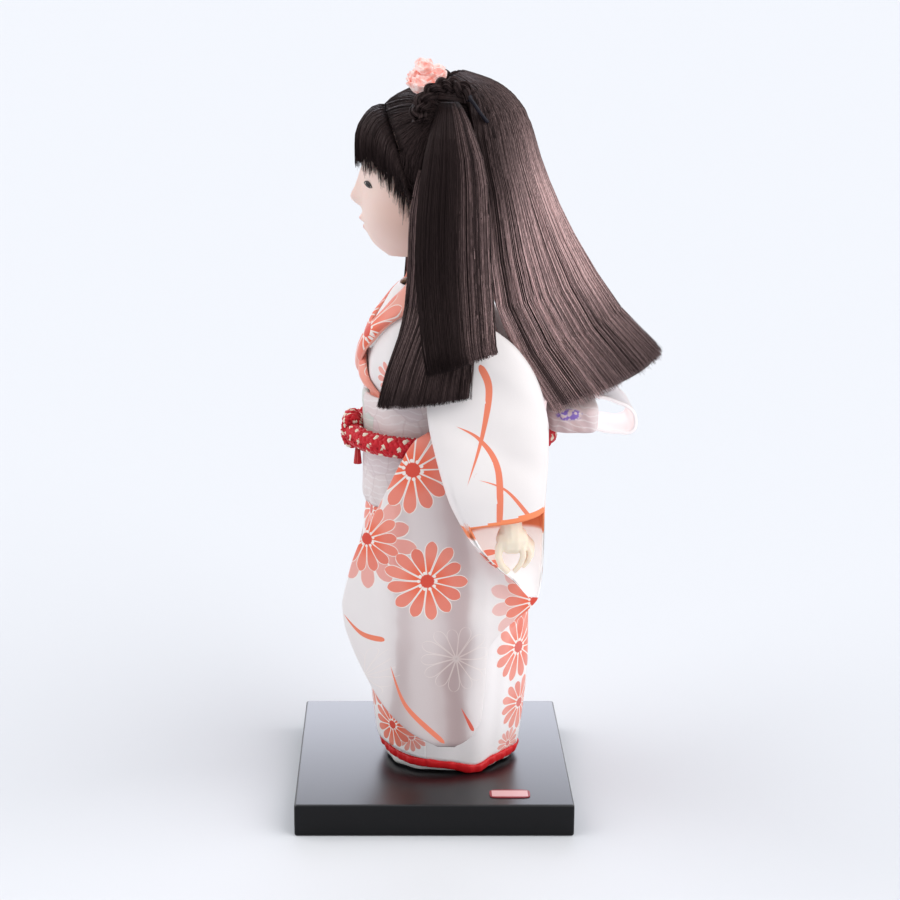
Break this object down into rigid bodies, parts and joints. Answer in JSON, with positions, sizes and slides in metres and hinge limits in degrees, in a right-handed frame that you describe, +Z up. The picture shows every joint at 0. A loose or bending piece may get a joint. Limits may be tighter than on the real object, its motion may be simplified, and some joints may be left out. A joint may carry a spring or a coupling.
{
  "type": "ichimatsu doll",
  "caption": "Standing Japanese doll in a printed kimono with obi, braided cord and long dark hair, on a square lacquered board; head turns, arms swing, doll lifts off its stand.",
  "frame": {"origin": "centre of the board's underside", "axes": "+Z up, the doll faces -Y and its left hand is on +X"},
  "size_m": [0.1682, 0.1995, 0.4057],
  "materials": {
    "black_lacquer": "black satin lacquer",
    "steel": "plain drawn wire and pin",
    "label_paper": "plain blank paper",
    "shell_white": "polished shell-white coating over carved wood",
    "white_cotton": "plain white cotton",
    "bare_wood": "bare wood",
    "printed_silk": "white satin printed with coral chrysanthemums and grass blades",
    "red_silk": "red silk",
    "brocade": "pale pink and lilac leaf brocade",
    "dark_glass": "polished dark glass",
    "hair": "straight dark brown hair fibre",
    "coral_crepe": "crinkled coral crepe",
    "dark_horn": "dark polished pin"
  },
  "bodies": {
    "stand": {"base_board": "black_lacquer", "left_foot_peg": "steel", "right_foot_peg": "steel", "label_plate": "label_paper"},
    "doll_body": {"left_leg": "shell_white", "left_tabi": "white_cotton", "right_leg": "shell_white", "right_tabi": "white_cotton", "leg_wadding": "white_cotton", "torso": "bare_wood", "kimono_body": "printed_silk", "underskirt": "white_cotton", "hem_roll": "red_silk", "kimono_front_panel": "printed_silk", "kimono_collar": "printed_silk", "under_collar": "white_cotton", "waist_tie": "red_silk", "obi_band": "brocade", "obi_knot": "brocade", "obi_cord": "red_silk", "obi_cord_knot": "red_silk", "obi_cord_tail": "red_silk", "obi_pillow": "white_cotton", "obi_drum": "brocade", "left_bow_loop": "brocade", "right_bow_loop": "brocade"},
    "head": {"head": "shell_white", "neck_peg": "bare_wood", "left_eye": "dark_glass", "right_eye": "dark_glass", "hair_cap": "hair", "fringe": "hair", "left_side_lock": "hair", "left_ponytail": "hair", "right_side_lock": "hair", "right_ponytail": "hair", "left_braid": "hair", "left_flower": "coral_crepe", "left_hairpin": "dark_horn", "right_braid": "hair", "right_flower": "coral_crepe", "right_hairpin": "dark_horn", "back_hair": "hair"},
    "left_arm": {"left_arm_wire": "steel", "left_arm_pad": "white_cotton", "left_hand": "shell_white", "left_sleeve": "printed_silk", "left_sleeve_bag": "printed_silk"},
    "right_arm": {"right_arm_wire": "steel", "right_arm_pad": "white_cotton", "right_hand": "shell_white", "right_sleeve": "printed_silk", "right_sleeve_bag": "printed_silk"}
  },
  "joints": [
    {"name": "doll_lift", "type": "slide", "parent": "stand", "child": "doll_body", "axis": [0, 0, 1], "range_m": [0, 0.06]},
    {"name": "head_turn", "type": "hinge", "parent": "doll_body", "child": "head", "pos_m": [0, 0.004, 0.29], "axis": [0, 0, 1], "range_deg": [-30, 30], "deforming": ["left_side_lock", "right_side_lock", "left_ponytail", "right_ponytail", "back_hair"]},
    {"name": "left_arm_swing", "type": "hinge", "parent": "doll_body", "child": "left_arm", "pos_m": [0.0379, 0.008, 0.264], "axis": [-1, 0, 0], "range_deg": [0, 35], "deforming": ["left_sleeve_bag"]},
    {"name": "right_arm_swing", "type": "hinge", "parent": "doll_body", "child": "right_arm", "pos_m": [-0.0379, 0.008, 0.264], "axis": [-1, 0, 0], "range_deg": [0, 35], "deforming": ["right_sleeve_bag"]}
  ]
}
